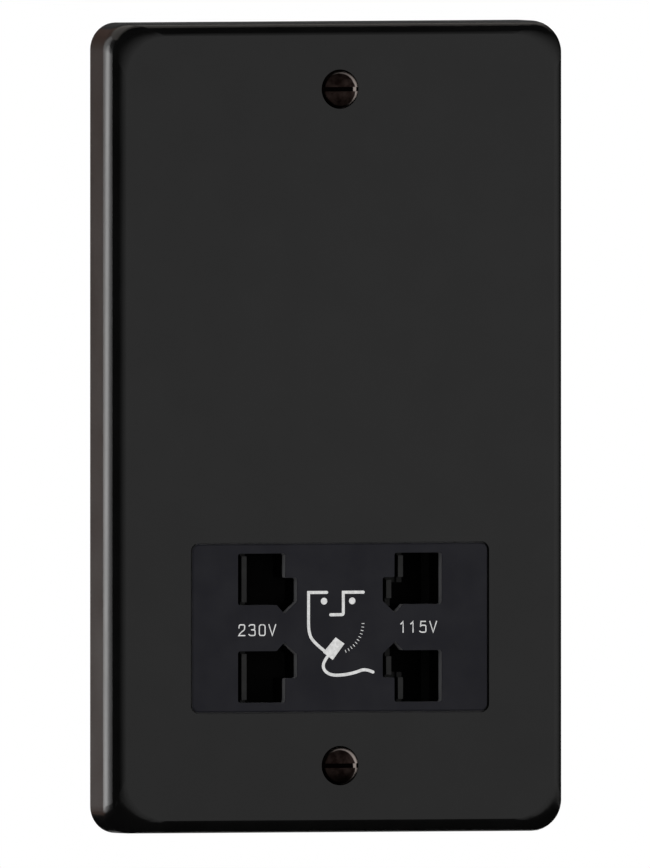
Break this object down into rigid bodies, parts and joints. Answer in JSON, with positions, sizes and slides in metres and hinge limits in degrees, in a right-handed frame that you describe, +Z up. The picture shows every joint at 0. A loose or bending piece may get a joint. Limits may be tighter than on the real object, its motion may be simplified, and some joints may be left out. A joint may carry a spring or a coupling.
{
  "type": "shaver socket",
  "caption": "Dual-voltage shaver supply outlet: matt black metal wall plate with a flush insert of profiled pin apertures, sprung shutters and an isolating transformer behind.",
  "frame": {"origin": "midway between the two fixing screws, on the wall plane at the plate's rear rim", "axes": "+Z up along the plate's long side, +Y into the wall, the face looks along -Y, +X to the viewer's right"},
  "size_m": [0.0864, 0.048, 0.1446],
  "materials": {
    "plate_coating": "matt black powder coat on pressed steel",
    "bronze_screw": "dark bronze plating, polished",
    "insert_moulding": "fine-textured black urea moulding",
    "guide_moulding": "black nylon moulding",
    "frame_moulding": "black moulding",
    "shutter_moulding": "black acetal moulding",
    "spring_steel": "bright spring wire",
    "contact_bronze": "phosphor bronze strip",
    "lamination_steel": "varnished lamination stack",
    "bobbin_nylon": "natural nylon",
    "enamelled_copper": "enamelled copper wire",
    "cutout_case": "black moulding",
    "zinc_steel": "zinc plated",
    "case_moulding": "off-white moulding",
    "terminal_moulding": "off-white moulding",
    "terminal_brass": "turned brass"
  },
  "bodies": {
    "supply_unit": {"front_plate": "plate_coating", "fixing_screws": "bronze_screw", "socket_face": "insert_moulding", "pin_guide": "guide_moulding", "mounting_frame": "frame_moulding", "contact_carrier": "frame_moulding", "contact_cover": "frame_moulding", "carrier_screws": "zinc_steel", "shutter_spring_230": "spring_steel", "shutter_spring_115": "spring_steel", "switch_contacts_230": "contact_bronze", "switch_contacts_115": "contact_bronze", "contact_230_upper": "contact_bronze", "contact_230_lower": "contact_bronze", "contact_115_upper": "contact_bronze", "contact_115_lower": "contact_bronze", "core_e_laminations": "lamination_steel", "core_i_laminations": "lamination_steel", "bobbin": "bobbin_nylon", "primary_winding": "enamelled_copper", "secondary_winding": "enamelled_copper", "thermal_cutout": "cutout_case", "core_screws": "zinc_steel", "rear_case": "case_moulding", "case_screws": "zinc_steel", "supply_terminals": "terminal_moulding", "terminal_clamps": "terminal_brass", "terminal_screws": "terminal_brass", "earth_terminal": "terminal_brass", "earth_screw": "terminal_brass"},
    "shutter_230": {"shutter_230": "shutter_moulding", "bridge_contact_230": "contact_bronze"},
    "shutter_115": {"shutter_115": "shutter_moulding", "bridge_contact_115": "contact_bronze"}
  },
  "joints": [
    {"name": "shutter_230_slide", "type": "slide", "parent": "supply_unit", "child": "shutter_230", "axis": [1, 0, 0], "range_m": [0, 0.0072], "stiffness_N_per_m": 120, "springref_m": -0.003, "deforming": ["shutter_spring_230"]},
    {"name": "shutter_115_slide", "type": "slide", "parent": "supply_unit", "child": "shutter_115", "axis": [-1, 0, 0], "range_m": [0, 0.0072], "stiffness_N_per_m": 120, "springref_m": -0.003, "deforming": ["shutter_spring_115"]}
  ]
}
